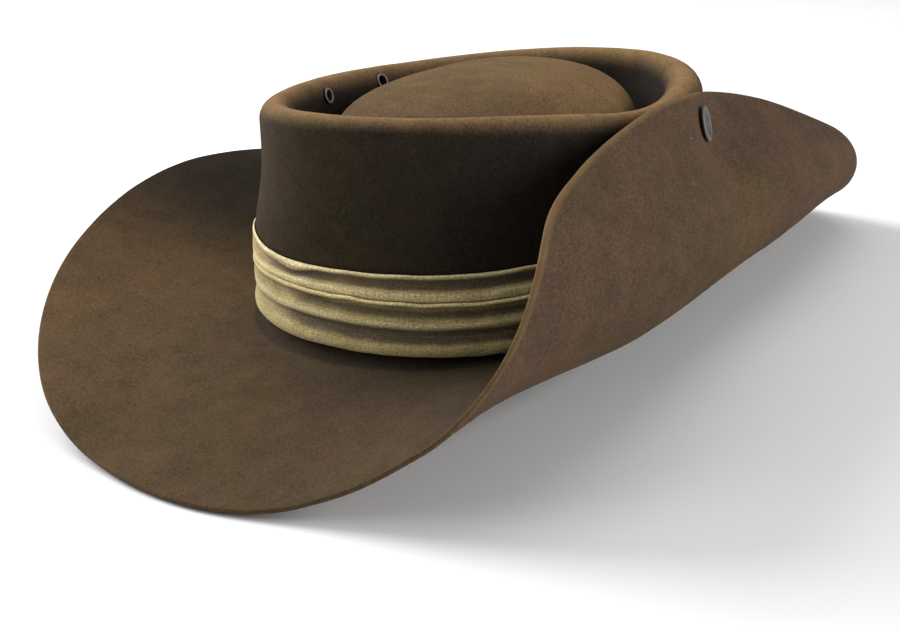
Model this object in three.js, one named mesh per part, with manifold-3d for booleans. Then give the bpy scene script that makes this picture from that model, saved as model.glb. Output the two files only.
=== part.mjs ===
// A slouch hat: one piece of blocked wool felt with its brim turned up on the wearer's left,
// a pleated cloth band round the crown, a press stud and four vent eyelets.
// Millimetres, +Z up. The wearer faces -Y, so +X is the wearer's left.
// Heights are measured from the break, the line where the crown turns out into the brim.

import * as THREE from 'three';
import { mergeVertices } from 'three/addons/utils/BufferGeometryUtils.js';
import Module from 'manifold-3d';

const wasm = await Module();
wasm.setup();

const DEGREE = Math.PI / 180;

// Felt
const FELT = 2.6;
const STATIONS = 60;

// Crown: an oval head size that draws in slightly towards a rolled rim
const OVAL_POWER = 2.25;
const HEAD = { halfWidth: 84, halfLength: 103.5 };
const RIM = { halfWidth: 77, halfLength: 101.2, height: 80, roll: 8, frontRoll: 5.5 };
const RIM_RISE = { right: 3.6, front: 4.8, ends: 2.4, corners: 1.3 };
const WALL_WAIST = 0.8;
const WALL_STEPS = 4;
const ROLL_STEPS = 5;

// Swell: on the wearer's right the wall has stretched outwards, most of all at the top of the band
const SWELL = { depth: 5.4, angle: 216 * DEGREE, spread: 34 * DEGREE, height: 35, reach: 14.5 };

// Tip: a flat-topped dome standing in a gutter inside the rim. Towards the back left it has sagged.
const DOME = { halfWidth: 50.1, halfLength: 76.7, top: 85.2, slope: 0.025, fullness: 0.43, spread: 0.87 };
const SAG = { angle: 42 * DEGREE, amount: 0.38 };
const DOME_ANGLES = [22, 42, 58, 70, 80, 90];
const GUTTER = { floor: 49, steps: 4, batter: 1.5 };

// Brim: a flat ring dished by this table, then rolled up along a fore-and-aft line on the left
const BRIM_STEPS = 10;
const BRIM_SWEEP = 1.15;
const BREAK = { wall: 7, brim: 8, steps: 3 };
const EDGE_SECTIONS = [
  { angle: 0, width: 91.5, rise: 0 },
  { angle: 30, width: 91.5, rise: -6.7 },
  { angle: 60, width: 91.4, rise: -5.1 },
  { angle: 90, width: 90, rise: -20.5 },
  { angle: 120, width: 90, rise: -2 },
  { angle: 150, width: 90, rise: 22 },
  { angle: 180, width: 90, rise: 36 },
  { angle: 210, width: 89.5, rise: 23 },
  { angle: 240, width: 90.3, rise: -4.6 },
  { angle: 255, width: 88.2, rise: -16.4 },
  { angle: 270, width: 89.3, rise: -20 },
  { angle: 285, width: 85.2, rise: -7.7 },
  { angle: 300, width: 88.6, rise: 17.8 },
  { angle: 315, width: 92.5, rise: 21.2 },
  { angle: 330, width: 92.7, rise: 10.8 },
  { angle: 345, width: 91.8, rise: 4 },
];
const TURN_UP = { start: 74.8, radius: 31.5, angle: 120 * DEGREE, reach: 150, tighten: 0.17, gain: 0.09 };

// Rest: the front and back of the brim are pressed flat on the surface under the hat
const REST = { below: 17.3, ease: 5, snap: 0.7 };

// Band: the height of each pleat line, how far it stands proud of the crown, and the clear gap behind
const BAND_FACE = [
  { height: 5.5, proud: 4.2 },
  { height: 8.5, proud: 4.9 },
  { height: 15.5, proud: 3.4 },
  { height: 18.5, proud: 4.3 },
  { height: 22.0, proud: 3.0 },
  { height: 24.3, proud: 4.1 },
  { height: 25.3, proud: 3.9 },
  { height: 28.5, proud: 3.3 },
  { height: 31.5, proud: 2.3 },
  { height: 33.0, proud: 3.4 },
  { height: 33.9, proud: 3.0 },
];
const BAND_BACK = [
  { height: 33.7, gap: 0.4 },
  { height: 23.0, gap: 0.4 },
  { height: 12.0, gap: 0.4 },
  { height: 5.7, gap: 1.7 },
];

// Over the swell the band is drawn thin towards its top and its foot rides up. Where it comes round
// from the front its top edge is pulled up as well.
const BAND_DRAWN = { thin: 0.7, behind: 0.4, foot: 0.7 };
const BAND_LIFT = { foot: 2.2, footZone: 0.3, top: 4.0, topZone: 0.7 };
const TOP_LIFT = { angle: 231 * DEGREE, spread: 14 * DEGREE };

// Stud: a thin cap outside the turned-up brim, on a post that passes through brim and crown wall
const STUD = { radius: 6.9, stand: 1.0, edge: 1.2, bevel: 0.45, lip: 1.6, dish: 0.5, fall: 0.8 };
const STUD_POST = { radius: 2.4, length: 15, sides: 20 };
const STUD_PLACE = { angle: 4.8 * DEGREE, fromEdge: 13.9 };

// The stud draws the turned-up brim in, and tilts it upright and towards the back under the cap
const STUD_PULL = { depth: 8, spread: 30 };
const STUD_TILT = { upright: 0.32, back: 0.25, spread: 18 };

// Eyelets: rolled metal rings through the inner shoulder of the rolled rim, some way up the roll
const EYELET = { outer: 3.3, bore: 2.2, barrel: 2.6, flange: 0.7, back: 1.6, sides: 14 };
const EYELET_PLACES = [
  { angle: 169.5 * DEGREE, upRoll: 20 * DEGREE },
  { angle: 204.2 * DEGREE, upRoll: 10 * DEGREE },
  { angle: 11 * DEGREE, upRoll: 15 * DEGREE },
  { angle: 338 * DEGREE, upRoll: 15 * DEGREE },
];

const FIT = 0.3;

const WELD = 1e-4;

const FINISHES = {
  felt: { color: '#4a3526', roughness: 0.95, metalness: 0 },
  cloth: { color: '#8f8058', roughness: 0.9, metalness: 0 },
  stud: { color: '#5d5a55', roughness: 0.45, metalness: 0.9 },
  eyelet: { color: '#2b2422', roughness: 0.5, metalness: 0.8 },
};

// Radius of an oval of the crown's shape at a plan angle
function oval(size, angle) {
  const across = Math.abs(Math.cos(angle) / size.halfWidth) ** OVAL_POWER;
  const along = Math.abs(Math.sin(angle) / size.halfLength) ** OVAL_POWER;
  return (across + along) ** (-1 / OVAL_POWER);
}

// Smooth value of a table column at an angle, with the table closed round the hat
function around(rows, column, angle) {
  const turn = (((angle / DEGREE) % 360) + 360) % 360;
  const count = rows.length;
  const row = (k) => rows[(k + count) % count];
  const place = (k) => row(k).angle + 360 * Math.floor(k / count);
  const start = rows.findLastIndex((entry) => entry.angle <= turn);
  const span = place(start + 1) - place(start);
  const slope = (k) => (row(k + 1)[column] - row(k - 1)[column]) / (place(k + 1) - place(k - 1));
  const t = (turn - place(start)) / span;
  const from = row(start)[column];
  const change = row(start + 1)[column] - from;
  const slopeIn = slope(start) * span;
  const slopeOut = slope(start + 1) * span;
  const bend = slopeIn + slopeOut - 2 * change;
  const pull = 3 * change - 2 * slopeIn - slopeOut;
  return from + t * (slopeIn + t * (pull + t * bend));
}

function cylindrical(radius, angle, z) {
  return new THREE.Vector3(radius * Math.cos(angle), radius * Math.sin(angle), z);
}

function rimHeight(angle) {
  const lean = -RIM_RISE.right * Math.cos(angle) - RIM_RISE.front * Math.sin(angle);
  const sway = -RIM_RISE.ends * Math.cos(2 * angle) - RIM_RISE.corners * Math.cos(3 * angle);
  return RIM.height + lean + sway;
}

// The rim is rolled tighter in front
function rimRoll(angle) {
  const front = Math.max(-Math.sin(angle), 0) ** 2;
  return THREE.MathUtils.lerp(RIM.roll, RIM.frontRoll, front);
}

// 1 at the middle of the swell on the wearer's right, falling to 0 on either side of it
function swollen(angle) {
  return Math.exp(-(((angle - SWELL.angle) / SWELL.spread) ** 4));
}

// Middle of the felt in the crown's outer wall
function wallRadius(angle, z) {
  const t = THREE.MathUtils.clamp(z / (rimHeight(angle) - rimRoll(angle)), 0, 1);
  const straight = THREE.MathUtils.lerp(oval(HEAD, angle), oval(RIM, angle), t);
  const swell = SWELL.depth * swollen(angle) * Math.exp(-(((z - SWELL.height) / SWELL.reach) ** 2) / 2);
  return straight + swell - FELT / 2 - WALL_WAIST * Math.sin(Math.PI * t);
}

function brimWidth(angle) {
  return around(EDGE_SECTIONS, 'width', angle);
}

// How far the stud draws the turned-up brim in towards the crown, round it and under its cap
function studPull(angle, out) {
  const aside = (oval(HEAD, angle) + out) * Math.sin(angle - STUD_PLACE.angle);
  const along = out - (brimWidth(angle) - STUD_PLACE.fromEdge);
  const away = aside ** 2 + along ** 2;
  const drawn = STUD_PULL.depth * Math.exp(-away / (2 * STUD_PULL.spread ** 2));
  const slope = STUD_TILT.back * aside - STUD_TILT.upright * along;
  return drawn + slope * Math.exp(-away / (2 * STUD_TILT.spread ** 2));
}

// Height of the felt where the surface under the hat bears it up, eased in from the free brim
function borneUp(z) {
  const lowest = FELT / 2 - REST.below;
  const above = z - lowest;
  if (above >= REST.ease) {
    return z;
  }
  return lowest + Math.max(above + REST.ease, 0) ** 2 / (4 * REST.ease);
}

// Middle of the felt in the brim, at a distance out from the break
function brimPoint(angle, out) {
  const point = cylindrical(oval(HEAD, angle) + out, angle, 0);
  point.z = around(EDGE_SECTIONS, 'rise', angle) * (out / brimWidth(angle)) ** BRIM_SWEEP;
  const past = point.x - TURN_UP.start;
  if (past > 0) {
    const end = (point.y / TURN_UP.reach) ** 2;
    const bendRadius = TURN_UP.radius * (1 - TURN_UP.tighten * end);
    const fullTurn = TURN_UP.angle * (1 + TURN_UP.gain * end);
    const turn = Math.min(past / bendRadius, fullTurn);
    const straight = past - turn * bendRadius;
    point.x = TURN_UP.start + bendRadius * Math.sin(turn) + straight * Math.cos(turn);
    point.z += bendRadius * (1 - Math.cos(turn)) + straight * Math.sin(turn);
    point.x -= studPull(angle, out);
  }
  point.z = borneUp(point.z);
  return point;
}

function domePoint(angle, tilt) {
  const radius = oval(DOME, angle) * Math.sin(tilt) ** DOME.spread;
  const sag = SAG.amount * Math.max(Math.cos(angle - SAG.angle), 0) ** 2;
  const z = GUTTER.floor + (DOME.top - GUTTER.floor) * Math.cos(tilt) ** (DOME.fullness + sag);
  const point = cylindrical(radius, angle, z);
  point.z -= DOME.slope * point.y;
  return point;
}

// One radial section of the felt, from the dome out to the brim's edge
function feltSection(angle) {
  const points = DOME_ANGLES.map((degrees) => domePoint(angle, degrees * DEGREE));
  const foot = points[points.length - 1];
  const footRadius = Math.hypot(foot.x, foot.y);
  const rollRadius = rimRoll(angle) - FELT / 2;
  const rollCentre = oval(RIM, angle) - rimRoll(angle);
  const rollZ = rimHeight(angle) - rimRoll(angle);
  const gutterOuter = rollCentre - rollRadius - GUTTER.batter;
  const gutterMiddle = (footRadius + gutterOuter) / 2;
  const gutterHalf = (gutterOuter - footRadius) / 2;
  for (let k = 1; k <= GUTTER.steps; k++) {
    const turn = (Math.PI * k) / GUTTER.steps;
    const radius = gutterMiddle - gutterHalf * Math.cos(turn);
    points.push(cylindrical(radius, angle, foot.z - gutterHalf * Math.sin(turn)));
  }
  for (let k = 0; k <= ROLL_STEPS; k++) {
    const turn = Math.PI * (1 - k / ROLL_STEPS);
    const radius = rollCentre + rollRadius * Math.cos(turn);
    points.push(cylindrical(radius, angle, rollZ + rollRadius * Math.sin(turn)));
  }
  const root = brimPoint(angle, 0);
  const wallFoot = root.z + BREAK.wall;
  for (let k = 1; k <= WALL_STEPS; k++) {
    const z = THREE.MathUtils.lerp(rollZ, wallFoot, k / WALL_STEPS);
    points.push(cylindrical(wallRadius(angle, z), angle, z));
  }
  const wallEnd = points[points.length - 1];
  const corner = cylindrical(wallRadius(angle, root.z), angle, root.z);
  const fillet = new THREE.QuadraticBezierCurve3(wallEnd, corner, brimPoint(angle, BREAK.brim));
  for (let k = 1; k < BREAK.steps; k++) {
    points.push(fillet.getPoint(k / BREAK.steps));
  }
  for (let k = 0; k <= BRIM_STEPS; k++) {
    points.push(brimPoint(angle, THREE.MathUtils.lerp(BREAK.brim, brimWidth(angle), k / BRIM_STEPS)));
  }
  return points;
}

function geometryFrom(vertices, triangles) {
  const geometry = new THREE.BufferGeometry();
  geometry.setAttribute('position', new THREE.Float32BufferAttribute(vertices, 3));
  geometry.setIndex(triangles);
  return geometry;
}

// Felt of even thickness: two skins either side of the sections, joined at the cut edge of the brim.
// Each four-sided patch is split along its straighter diagonal, so a bend in the felt stays smooth.
function feltGeometry() {
  const angles = Array.from({ length: STATIONS }, (_, i) => (2 * Math.PI * i) / STATIONS);
  const sections = angles.map(feltSection);
  const rings = sections[0].length;
  const crownTop = new THREE.Vector3(0, 0, DOME.top);
  const at = (i, k) => (k < 0 ? crownTop : sections[(i + STATIONS) % STATIONS][Math.min(k, rings - 1)]);
  const normal = (i, k) => {
    const roundTheHat = at(i + 1, k).clone().sub(at(i - 1, k));
    const outward = at(i, k + 1).clone().sub(at(i, k - 1));
    return outward.cross(roundTheHat).normalize();
  };
  const vertices = [];
  const restPlane = -REST.below;
  for (const side of [1, -1]) {
    vertices.push(0, 0, DOME.top + (side * FELT) / 2);
    for (let k = 0; k < rings; k++) {
      for (let i = 0; i < STATIONS; i++) {
        const point = at(i, k).clone().addScaledVector(normal(i, k), (side * FELT) / 2);
        if (point.z < restPlane + REST.snap) {
          point.z = restPlane;
        }
        vertices.push(point.x, point.y, point.z);
      }
    }
  }
  const skin = 1 + rings * STATIONS;
  const index = (side, i, k) => side * skin + 1 + k * STATIONS + (i % STATIONS);
  const triangles = [];
  for (let i = 0; i < STATIONS; i++) {
    triangles.push(0, index(0, i, 0), index(0, i + 1, 0));
    triangles.push(skin, index(1, i + 1, 0), index(1, i, 0));
    for (let k = 0; k < rings - 1; k++) {
      const bendOfFirst = normal(i, k).dot(normal(i + 1, k + 1));
      const firstDiagonal = bendOfFirst >= normal(i + 1, k).dot(normal(i, k + 1));
      for (const side of [0, 1]) {
        const [a, b] = [index(side, i, k), index(side, i, k + 1)];
        const [c, d] = [index(side, i + 1, k + 1), index(side, i + 1, k)];
        const pair = firstDiagonal ? [a, b, c, a, c, d] : [a, b, d, b, c, d];
        triangles.push(...(side === 0 ? pair : pair.reverse()));
      }
    }
    const last = rings - 1;
    triangles.push(index(0, i, last), index(1, i, last), index(1, i + 1, last));
    triangles.push(index(0, i, last), index(1, i + 1, last), index(0, i + 1, last));
  }
  return geometryFrom(vertices, triangles);
}

// Point of the band at a height and a distance clear of the crown wall. The foot rises with the brim
// where that is turned up, and the cloth is drawn over the swell.
function bandPoint(angle, height, clear) {
  const bottom = BAND_FACE[0].height;
  const top = BAND_FACE[BAND_FACE.length - 1].height;
  const up = (height - bottom) / (top - bottom);
  const drawn = swollen(angle);
  const footLift = BAND_LIFT.foot * (1 - THREE.MathUtils.smoothstep(up, 0, BAND_LIFT.footZone));
  const pulled = Math.exp(-(((angle - TOP_LIFT.angle) / TOP_LIFT.spread) ** 2));
  const topLift = BAND_LIFT.top * THREE.MathUtils.smoothstep(up, BAND_LIFT.topZone, 1);
  const z = height + brimPoint(angle, 0).z * (1 - up) + footLift * drawn + topLift * pulled;
  const cover = (clear - BAND_DRAWN.behind) * (1 - BAND_DRAWN.thin * drawn * up);
  const loose = BAND_DRAWN.foot * drawn * (1 - up);
  return cylindrical(wallRadius(angle, z) + FELT / 2 + BAND_DRAWN.behind + cover + loose, angle, z);
}

// Pleated ring standing clear of the crown wall
function bandGeometry() {
  const outline = [
    ...BAND_FACE.map((row) => ({ height: row.height, clear: row.proud })),
    ...BAND_BACK.map((row) => ({ height: row.height, clear: row.gap })),
  ];
  const count = outline.length;
  const vertices = [];
  const triangles = [];
  for (let i = 0; i < STATIONS; i++) {
    const angle = (2 * Math.PI * i) / STATIONS;
    const next = (i + 1) % STATIONS;
    for (let k = 0; k < count; k++) {
      const after = (k + 1) % count;
      const point = bandPoint(angle, outline[k].height, outline[k].clear);
      vertices.push(point.x, point.y, point.z);
      triangles.push(i * count + k, next * count + k, next * count + after);
      triangles.push(i * count + k, next * count + after, i * count + after);
    }
  }
  return geometryFrom(vertices, triangles);
}

// Cap and post turned about +Z, with the felt's outer face at z = 0 and the post going down
function studGeometry() {
  const face = STUD.stand + STUD.edge;
  const lipInner = STUD.radius - STUD.lip;
  const profile = [
    [0, -STUD_POST.length],
    [STUD_POST.radius, -STUD_POST.length],
    [STUD_POST.radius, STUD.stand],
    [STUD.radius - STUD.bevel, STUD.stand],
    [STUD.radius, STUD.stand + STUD.edge / 2],
    [STUD.radius - STUD.bevel, face],
    [lipInner, face],
    [lipInner - STUD.fall, face - STUD.dish],
    [0, face - STUD.dish],
  ];
  const points = profile.map(([radius, height]) => new THREE.Vector2(radius, height));
  return new THREE.LatheGeometry(points, STUD_POST.sides).rotateX(Math.PI / 2);
}

// Barrel with a rolled flange on each face of the felt, turned about +Z
function eyeletGeometry() {
  const front = FELT / 2 + FIT;
  const back = -FELT / 2 - EYELET.back;
  const profile = [
    [EYELET.bore, back - EYELET.flange / 2],
    [EYELET.barrel, back - EYELET.flange],
    [EYELET.outer, back - EYELET.flange / 2],
    [EYELET.outer, back],
    [EYELET.barrel, back],
    [EYELET.barrel, front],
    [EYELET.outer, front],
    [EYELET.outer, front + EYELET.flange / 2],
    [EYELET.barrel, front + EYELET.flange],
    [EYELET.bore, front + EYELET.flange / 2],
    [EYELET.bore, back - EYELET.flange / 2],
  ];
  const points = profile.map(([radius, height]) => new THREE.Vector2(radius, height));
  return new THREE.LatheGeometry(points, EYELET.sides).rotateX(Math.PI / 2);
}

// Place and direction of the stud: the outer face of the turned-up brim at its middle
function studPose() {
  const out = brimWidth(STUD_PLACE.angle) - STUD_PLACE.fromEdge;
  const up = brimPoint(STUD_PLACE.angle, out + 1).sub(brimPoint(STUD_PLACE.angle, out - 1));
  const back = brimPoint(STUD_PLACE.angle + DEGREE, out).sub(brimPoint(STUD_PLACE.angle - DEGREE, out));
  const direction = back.cross(up).normalize();
  const position = brimPoint(STUD_PLACE.angle, out).addScaledVector(direction, FELT / 2);
  return { position, direction };
}

// Place and direction of an eyelet: the middle of the felt in the roll, facing in and up
function eyeletPose({ angle, upRoll }) {
  const roll = rimRoll(angle);
  const radius = oval(RIM, angle) - roll - (roll - FELT / 2) * Math.cos(upRoll);
  const z = rimHeight(angle) - roll + (roll - FELT / 2) * Math.sin(upRoll);
  const step = 2 * DEGREE;
  const tangent = cylindrical(oval(RIM, angle + step), angle + step, 0);
  tangent.sub(cylindrical(oval(RIM, angle - step), angle - step, 0));
  const inward = new THREE.Vector3(-tangent.y, tangent.x, 0).normalize();
  const direction = inward.multiplyScalar(Math.cos(upRoll));
  direction.z = Math.sin(upRoll);
  return { position: cylindrical(radius, angle, z), direction };
}

function turned(mesh, pose) {
  mesh.position.copy(pose.position);
  mesh.quaternion.setFromUnitVectors(new THREE.Vector3(0, 0, 1), pose.direction);
  mesh.updateMatrixWorld();
  return mesh;
}

function solidFrom(geometry) {
  const bare = geometry.clone();
  bare.deleteAttribute('normal');
  bare.deleteAttribute('uv');
  const merged = mergeVertices(bare, WELD);
  const vertProperties = new Float32Array(merged.attributes.position.array);
  const triVerts = new Uint32Array(merged.index.array);
  return new wasm.Manifold(new wasm.Mesh({ numProp: 3, vertProperties, triVerts }));
}

// A round hole along a pose's direction, from just outside the felt to a depth behind it
function holeAt(pose, radius, outside, depth) {
  const length = outside + depth;
  const drill = new THREE.CylinderGeometry(radius, radius, length, EYELET.sides);
  drill.rotateX(Math.PI / 2).translate(0, 0, outside - length / 2);
  return solidFrom(drill.applyMatrix4(turned(new THREE.Object3D(), pose).matrixWorld));
}

function named(name, geometry, finish) {
  const mesh = new THREE.Mesh(geometry, new THREE.MeshStandardMaterial(finish));
  mesh.name = name;
  return mesh;
}

const eyeletPoses = EYELET_PLACES.map(eyeletPose);

function feltBody() {
  let felt = solidFrom(feltGeometry());
  for (const pose of eyeletPoses) {
    felt = felt.subtract(holeAt(pose, EYELET.barrel + FIT, FELT, FELT + EYELET.back));
  }
  felt = felt.subtract(holeAt(studPose(), STUD_POST.radius + FIT, FELT, STUD_POST.length + FIT));
  const cut = felt.getMesh();
  const geometry = geometryFrom(Array.from(cut.vertProperties), Array.from(cut.triVerts));
  return named('felt_body', geometry, FINISHES.felt);
}

const hat = new THREE.Group();
hat.add(feltBody());
hat.add(named('pleated_band', bandGeometry(), FINISHES.cloth));
hat.add(turned(named('press_stud', studGeometry(), FINISHES.stud), studPose()));
eyeletPoses.forEach((pose, i) => {
  hat.add(turned(named(`eyelet_${i + 1}`, eyeletGeometry(), FINISHES.eyelet), pose));
});

// The origin is on the surface under the hat, below the middle of its overall box
const extent = new THREE.Box3().setFromObject(hat);
const middle = extent.getCenter(new THREE.Vector3());
hat.position.set(-middle.x, -middle.y, REST.below);

export default hat;
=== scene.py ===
# %% [markdown]
# # A slouch hat in felt, cloth and metal
#
# The hat is one piece of brown wool felt. It was blocked to shape while wet, its brim was turned up
# on the wearer's left and fastened there by a stud, and a strip of khaki cloth was pleated round the
# foot of the crown. This lesson builds each of those as its own mesh, around a packed set of solids
# that fixes the sizes and places. The solids are loaded first and never moved.

# %% Load the solids
import math

import bpy
import numpy as np
from mathutils import Matrix, Vector


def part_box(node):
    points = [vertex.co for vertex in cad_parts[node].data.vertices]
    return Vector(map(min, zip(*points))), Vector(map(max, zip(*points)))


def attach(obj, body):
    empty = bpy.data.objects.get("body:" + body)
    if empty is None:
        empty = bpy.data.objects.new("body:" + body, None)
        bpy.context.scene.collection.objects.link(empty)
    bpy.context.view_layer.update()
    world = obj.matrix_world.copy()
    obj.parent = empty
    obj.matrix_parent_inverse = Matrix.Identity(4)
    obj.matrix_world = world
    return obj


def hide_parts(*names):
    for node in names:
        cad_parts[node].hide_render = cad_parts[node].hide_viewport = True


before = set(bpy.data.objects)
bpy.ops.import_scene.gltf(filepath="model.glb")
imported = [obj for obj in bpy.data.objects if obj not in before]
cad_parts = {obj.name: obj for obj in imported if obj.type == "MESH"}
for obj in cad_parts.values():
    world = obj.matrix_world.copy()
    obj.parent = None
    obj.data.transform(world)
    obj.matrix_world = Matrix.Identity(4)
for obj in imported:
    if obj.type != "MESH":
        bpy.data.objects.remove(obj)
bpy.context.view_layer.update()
print("solids:", ", ".join(sorted(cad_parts)))

# %% [markdown]
# ## The oval of the head
#
# A hat block is nearly an ellipse, a little fuller at its corners. A superellipse with a power just
# over 2 gives that with one number. Every plan shape of the hat is such an oval, so one function
# serves the head size, the rolled rim and the domed tip. Sizes are in millimetres, as a hatter would
# give them, and become metres only when a mesh is made.

# %% Ovals and tables
MM = 0.001
FELT = 2.6
OVAL_POWER = 2.25
HEAD = (84.0, 103.5)
RIM = (77.0, 101.2)
DOME = (50.1, 76.7)


def oval(half_sizes, angle):
    across = np.abs(np.cos(angle) / half_sizes[0]) ** OVAL_POWER
    along = np.abs(np.sin(angle) / half_sizes[1]) ** OVAL_POWER
    return (across + along) ** (-1 / OVAL_POWER)


def around(places, values, angle):
    """Smooth value of a table round the hat, closed on itself; places are in degrees."""
    stops = np.concatenate([places[-1:] - 360, places, places[:2] + 360])
    heights = np.concatenate([values[-1:], values, values[:2]])
    slopes = (heights[2:] - heights[:-2]) / (stops[2:] - stops[:-2])
    turn = np.degrees(angle) % 360
    k = np.searchsorted(stops, turn, side="right") - 2
    span = stops[k + 2] - stops[k + 1]
    t = (turn - stops[k + 1]) / span
    change = heights[k + 2] - heights[k + 1]
    slope_in = slopes[k] * span
    slope_out = slopes[k + 1] * span
    bend = slope_in + slope_out - 2 * change
    pull = 3 * change - 2 * slope_in - slope_out
    return heights[k + 1] + t * (slope_in + t * (pull + t * bend))


def rounded(radius, angle, z):
    return np.stack([radius * np.cos(angle), radius * np.sin(angle), z + 0 * radius], axis=-1)


def ease(low, high, value):
    """0 below low, 1 above high, and a soft step between."""
    t = np.clip((value - low) / (high - low), 0, 1)
    return t * t * (3 - 2 * t)


print("head oval", round(2 * HEAD[0]), "by", round(2 * HEAD[1]), "mm")

# %% [markdown]
# ## The brim
#
# A real brim is a flat ring that steam and wear have dished. The table gives its width and the rise
# of its edge at a few plan angles, with the wearer's left at 0 degrees and the front at 270. The
# left side is then rolled up along a fore-and-aft line, as a flat sheet would be round a rod, so the
# felt keeps its length. Where the front and back touch the floor, the felt is borne up.

# %% Brim shape
EDGE = np.array([
    # angle, width, rise
    (0, 91.5, 0), (30, 91.5, -6.7), (60, 91.4, -5.1), (90, 90, -20.5), (120, 90, -2), (150, 90, 22),
    (180, 90, 36), (210, 89.5, 23), (240, 90.3, -4.6), (255, 88.2, -16.4), (270, 89.3, -20),
    (285, 85.2, -7.7), (300, 88.6, 17.8), (315, 92.5, 21.2), (330, 92.7, 10.8), (345, 91.8, 4),
])
EDGE_ANGLE, EDGE_WIDTH, EDGE_RISE = EDGE.T
BRIM_SWEEP = 1.15
ROLL_START, ROLL_RADIUS, ROLL_ANGLE = 74.8, 31.5, math.radians(120)
ROLL_REACH, ROLL_TIGHTEN, ROLL_GAIN = 150.0, 0.17, 0.09
STUD_ANGLE, STUD_FROM_EDGE = math.radians(4.8), 13.9
PULL_DEPTH, PULL_SPREAD = 8.0, 30.0
TILT_UPRIGHT, TILT_BACK, TILT_SPREAD = 0.32, 0.25, 18.0
REST_BELOW, REST_EASE = 17.3, 5.0


def brim_width(angle):
    return around(EDGE_ANGLE, EDGE_WIDTH, angle)


def stud_pull(angle, out):
    aside = (oval(HEAD, angle) + out) * np.sin(angle - STUD_ANGLE)
    along = out - (brim_width(angle) - STUD_FROM_EDGE)
    away = aside**2 + along**2
    drawn = PULL_DEPTH * np.exp(-away / (2 * PULL_SPREAD**2))
    slope = TILT_BACK * aside - TILT_UPRIGHT * along
    near_side = np.cos(angle) > 0
    return near_side * (drawn + slope * np.exp(-away / (2 * TILT_SPREAD**2)))


def borne_up(z):
    lowest = FELT / 2 - REST_BELOW
    above = z - lowest
    eased = lowest + np.maximum(above + REST_EASE, 0) ** 2 / (4 * REST_EASE)
    return np.where(above >= REST_EASE, z, eased)


def brim_point(angle, out):
    """Middle of the felt in the brim, at a distance out from the break."""
    radius = oval(HEAD, angle) + out
    x, y = radius * np.cos(angle), radius * np.sin(angle)
    z = around(EDGE_ANGLE, EDGE_RISE, angle) * (out / brim_width(angle)) ** BRIM_SWEEP
    past = np.maximum(x - ROLL_START, 0)
    end = (y / ROLL_REACH) ** 2
    bend = ROLL_RADIUS * (1 - ROLL_TIGHTEN * end)
    turn = np.minimum(past / bend, ROLL_ANGLE * (1 + ROLL_GAIN * end))
    straight = past - turn * bend
    rolled = ROLL_START + bend * np.sin(turn) + straight * np.cos(turn) - stud_pull(angle, out)
    x = np.where(past > 0, rolled, x)
    z = z + bend * (1 - np.cos(turn)) + straight * np.sin(turn)
    return np.stack([x, y, borne_up(z)], axis=-1)


print("brim", EDGE_WIDTH.min(), "to", EDGE_WIDTH.max(), "mm wide")

# %% [markdown]
# ## The crown
#
# The crown is a telescope: the wall goes up to a rolled rim, drops into a gutter, and a flat-topped
# dome stands inside it. Each radial section is a chain of simple curves: the dome, a half-round
# gutter, a straight batter, a half-round roll, the wall, a fillet at the break, and the brim. On the
# wearer's right the wall has stretched into a soft swell, and towards the back left the dome has
# sagged. The sections are sampled far more finely here than in the solids, so light runs smoothly.

# %% Crown shape
RIM_HEIGHT, RIM_ROLL, RIM_FRONT_ROLL = 80.0, 8.0, 5.5
RIM_RIGHT, RIM_FRONT, RIM_ENDS, RIM_CORNERS = 3.6, 4.8, 2.4, 1.3
WALL_WAIST = 0.8
SWELL, SWELL_ANGLE, SWELL_SPREAD = 5.4, math.radians(216), math.radians(34)
SWELL_HEIGHT, SWELL_REACH = 35.0, 14.5
DOME_TOP, DOME_SLOPE, DOME_FULLNESS, DOME_SPREAD = 85.2, 0.025, 0.43, 0.87
SAG, SAG_ANGLE = 0.38, math.radians(42)
GUTTER_FLOOR, GUTTER_BATTER = 49.0, 1.5


def rim_height(angle):
    lean = -RIM_RIGHT * np.cos(angle) - RIM_FRONT * np.sin(angle)
    sway = -RIM_ENDS * np.cos(2 * angle) - RIM_CORNERS * np.cos(3 * angle)
    return RIM_HEIGHT + lean + sway


def rim_roll(angle):
    """Radius of the rolled rim, tighter in front."""
    front = np.maximum(-np.sin(angle), 0) ** 2
    return RIM_ROLL + (RIM_FRONT_ROLL - RIM_ROLL) * front


def swollen(angle):
    """1 at the middle of the swell on the wearer's right, falling to 0 on either side of it."""
    return np.exp(-(((angle - SWELL_ANGLE) / SWELL_SPREAD) ** 4))


def wall_radius(angle, z):
    """Middle of the felt in the crown's outer wall."""
    t = np.clip(z / (rim_height(angle) - rim_roll(angle)), 0, 1)
    straight = oval(HEAD, angle) * (1 - t) + oval(RIM, angle) * t
    swell = SWELL * swollen(angle) * np.exp(-(((z - SWELL_HEIGHT) / SWELL_REACH) ** 2) / 2)
    return straight + swell - FELT / 2 - WALL_WAIST * np.sin(np.pi * t)


def dome_point(angle, tilt):
    radius = oval(DOME, angle) * math.sin(tilt) ** DOME_SPREAD
    fullness = DOME_FULLNESS + SAG * np.maximum(np.cos(angle - SAG_ANGLE), 0) ** 2
    z = GUTTER_FLOOR + (DOME_TOP - GUTTER_FLOOR) * max(math.cos(tilt), 0) ** fullness
    point = rounded(radius, angle, z)
    point[..., 2] -= DOME_SLOPE * point[..., 1]
    return point


print("rim heights", np.round(rim_height(np.radians([0, 90, 180, 270])), 1), "mm")

# %% [markdown]
# ## Rows of the crown
#
# The middle of the felt is laid out first as a grid: one column of points per station round the hat
# and one row per step along the section. The rows begin beside the middle of the dome and crowd
# together towards its foot, where it bends most. Then they go round the gutter, up its outer side and
# over the roll.

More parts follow.
